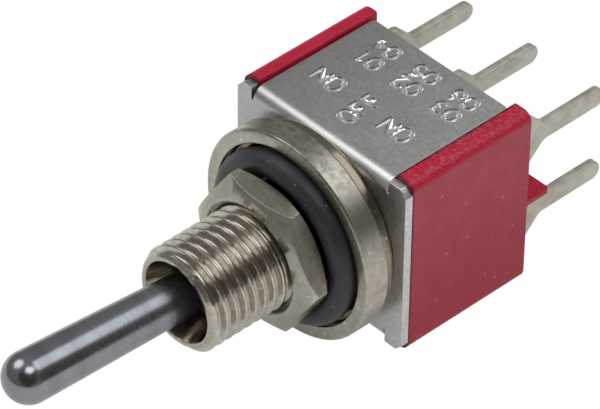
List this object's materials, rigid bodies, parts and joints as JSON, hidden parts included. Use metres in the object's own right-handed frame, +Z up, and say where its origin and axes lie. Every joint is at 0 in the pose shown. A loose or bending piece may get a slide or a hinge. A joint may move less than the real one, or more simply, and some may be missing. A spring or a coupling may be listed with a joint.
{
  "type": "toggle switch",
  "caption": "Miniature sealed toggle switch with a threaded panel bushing, a hex nut, a folded steel bracket, a moulded case and printed-circuit pins.",
  "frame": {"origin": "centre of the flange face that meets the panel, on the bushing axis", "axes": "-Y out of the bushing along the lever, +X the way the lever is thrown, +Z up across the pin rows"},
  "size_m": [0.0126, 0.0368, 0.0124],
  "materials": {
    "plated_brass": "nickel plated, satin",
    "bracket_steel": "plated, dull and finely mottled",
    "case_resin": "moulded, dark red with a fine grain",
    "black_rubber": "satin",
    "lever_steel": "turned and polished",
    "actuator_nylon": "moulded",
    "sealing_resin": "poured",
    "contact_silver": "plain",
    "contact_copper": "rolled strip",
    "plunger_steel": "drawn",
    "tinned_copper": "dull tin"
  },
  "bodies": {
    "housing": {"bushing": "plated_brass", "bracket": "bracket_steel", "case": "case_resin", "panel_o_ring": "black_rubber", "fixed_contacts": "contact_silver", "terminal_seal_upper": "sealing_resin", "terminal_seal_lower": "sealing_resin", "terminal_1": "tinned_copper", "terminal_2": "tinned_copper", "terminal_3": "tinned_copper", "terminal_4": "tinned_copper", "terminal_5": "tinned_copper", "terminal_6": "tinned_copper"},
    "toggle": {"lever": "lever_steel", "lever_seal": "black_rubber", "pivot_pin": "lever_steel", "actuator": "actuator_nylon", "plunger_spring_upper": "plunger_steel", "plunger_spring_lower": "plunger_steel"},
    "plunger_up": {"plunger_upper": "plunger_steel"},
    "plunger_low": {"plunger_lower": "plunger_steel"},
    "rocker_up": {"rocker_upper": "contact_copper", "moving_contacts_upper": "contact_silver"},
    "rocker_low": {"rocker_lower": "contact_copper", "moving_contacts_lower": "contact_silver"},
    "nut": {"hex_nut": "plated_brass"}
  },
  "joints": [
    {"name": "toggle_tilt", "type": "hinge", "parent": "housing", "child": "toggle", "pos_m": [0, -0.0033, 0], "axis": [0, 0, 1], "range_deg": [-8.9, 16.1]},
    {"name": "plunger_upper_slide", "type": "slide", "parent": "toggle", "child": "plunger_up", "axis": [-0.0628, -0.998, 0], "range_m": [0, 0.0005], "stiffness_N_per_m": 300, "springref_m": -0.0005, "deforming": ["plunger_spring_upper"]},
    {"name": "plunger_lower_slide", "type": "slide", "parent": "toggle", "child": "plunger_low", "axis": [-0.0628, -0.998, 0], "range_m": [0, 0.0005], "stiffness_N_per_m": 300, "springref_m": -0.0005, "deforming": ["plunger_spring_lower"]},
    {"name": "rocker_upper_tilt", "type": "hinge", "parent": "housing", "child": "rocker_up", "pos_m": [0, 0.00859, 0.00254], "axis": [0, 0, 1], "range_deg": [-9.66, 5.34]},
    {"name": "rocker_lower_tilt", "type": "hinge", "parent": "housing", "child": "rocker_low", "pos_m": [0, 0.00859, -0.00254], "axis": [0, 0, 1], "range_deg": [-9.66, 5.34]},
    {"name": "nut_travel", "type": "slide", "parent": "housing", "child": "nut", "axis": [0, -1, 0], "range_m": [0, 0.0044]}
  ],
  "couplings": [
    {"joint": "rocker_upper_tilt", "follows": "toggle_tilt", "ratio": -0.6},
    {"joint": "rocker_lower_tilt", "follows": "toggle_tilt", "ratio": -0.6}
  ]
}
